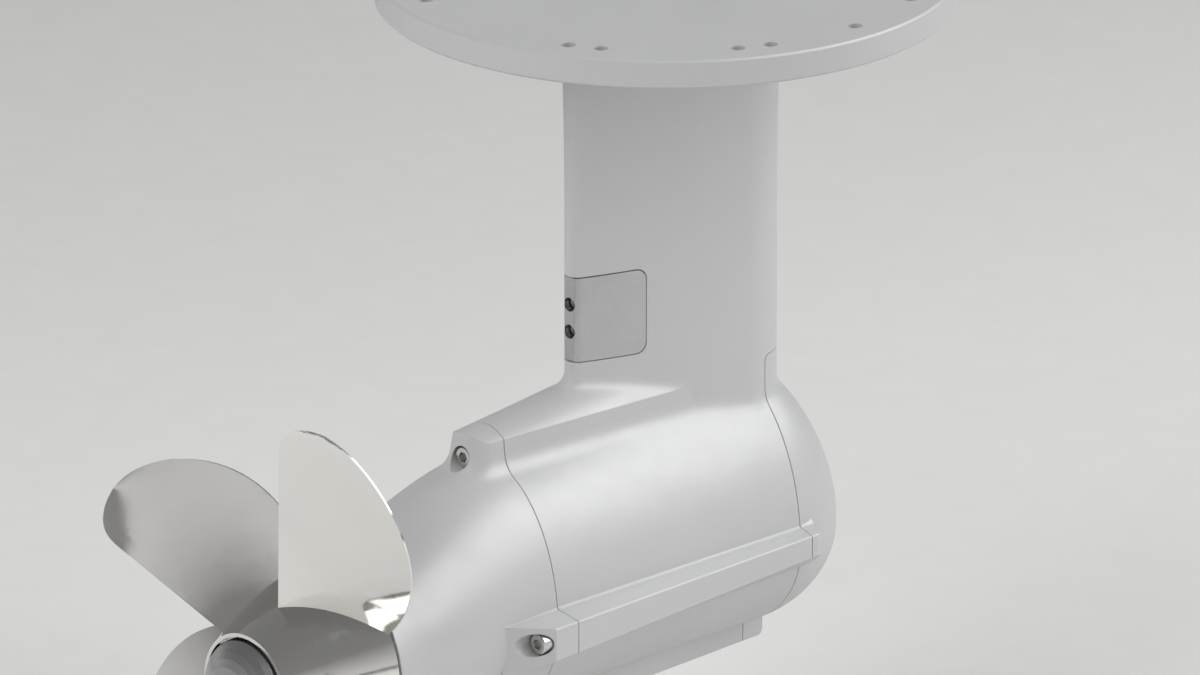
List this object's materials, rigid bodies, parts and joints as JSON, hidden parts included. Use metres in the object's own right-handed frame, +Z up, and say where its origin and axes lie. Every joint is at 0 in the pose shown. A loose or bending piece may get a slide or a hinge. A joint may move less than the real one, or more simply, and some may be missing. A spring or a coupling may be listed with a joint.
{
  "type": "pod drive",
  "caption": "Electric boat pod drive: round hull flange, faired strut, motor housing with side rails and an aft propeller that turns freely.",
  "frame": {"origin": "centre of the mounting flange's upper face, which lies against the hull", "axes": "+X to the bow along the propeller axis, +Y to port, +Z up out of the flange into the hull"},
  "size_m": [0.563, 0.36, 0.5544],
  "materials": {
    "housing_paint": "light grey satin paint on cast alloy",
    "flange_paint": "light grey satin paint on alloy plate",
    "propeller_polish": "polished stainless steel",
    "anode_metal": "bare satin anode alloy",
    "stainless": "turned stainless steel",
    "shaft_steel": "ground stainless steel",
    "bearing_steel": "ground bearing steel",
    "seal_rubber": "moulded rubber",
    "plate_metal": "anodised",
    "connector_plastic": "moulded",
    "lead_sheath": "extruded sheath",
    "lamination_steel": "stacked sheets",
    "copper": "enamelled copper wire",
    "magnet": "nickel plated",
    "circuit_board": "solder mask"
  },
  "bodies": {
    "housing": {"anode": "anode_metal", "anode_screws": "stainless", "bearing_carrier": "plate_metal", "carrier_screws": "stainless", "flange_screws": "stainless", "flange_seal": "seal_rubber", "front_bearing_balls": "bearing_steel", "front_bearing_outer_race": "bearing_steel", "front_gasket": "seal_rubber", "mounting_flange": "flange_paint", "nose_cover": "housing_paint", "phase_leads": "lead_sheath", "power_socket": "connector_plastic", "rear_bearing_balls": "bearing_steel", "rear_bearing_outer_race": "bearing_steel", "rear_gasket": "seal_rubber", "seal_retaining_ring": "stainless", "sensor_board": "circuit_board", "sensor_spacers": "stainless", "shaft_seals": "seal_rubber", "signal_lead": "lead_sheath", "signal_socket": "connector_plastic", "socket_plate": "plate_metal", "socket_plate_screws": "stainless", "socket_plate_seal": "seal_rubber", "stator_coils": "copper", "stator_core": "lamination_steel", "strut_housing": "housing_paint", "tail_cover": "housing_paint", "terminal_block": "connector_plastic", "tie_bolts": "stainless"},
    "drive_line": {"rotor_core": "lamination_steel", "rotor_magnets": "magnet", "rotor_key": "stainless", "propeller_shaft": "shaft_steel", "front_bearing_inner_race": "bearing_steel", "rear_bearing_inner_race": "bearing_steel", "bearing_nut": "stainless", "thrust_washer": "stainless", "drive_sleeve": "stainless", "propeller_bush": "seal_rubber", "propeller": "propeller_polish", "prop_washer": "stainless", "prop_nut": "stainless", "cotter_pin": "stainless", "prop_cone": "anode_metal", "cone_screw": "stainless"}
  },
  "joints": [
    {"name": "propeller_spin", "type": "hinge", "parent": "housing", "child": "drive_line", "pos_m": [-0.3, 0, -0.375], "axis": [1, 0, 0], "continuous": true}
  ]
}
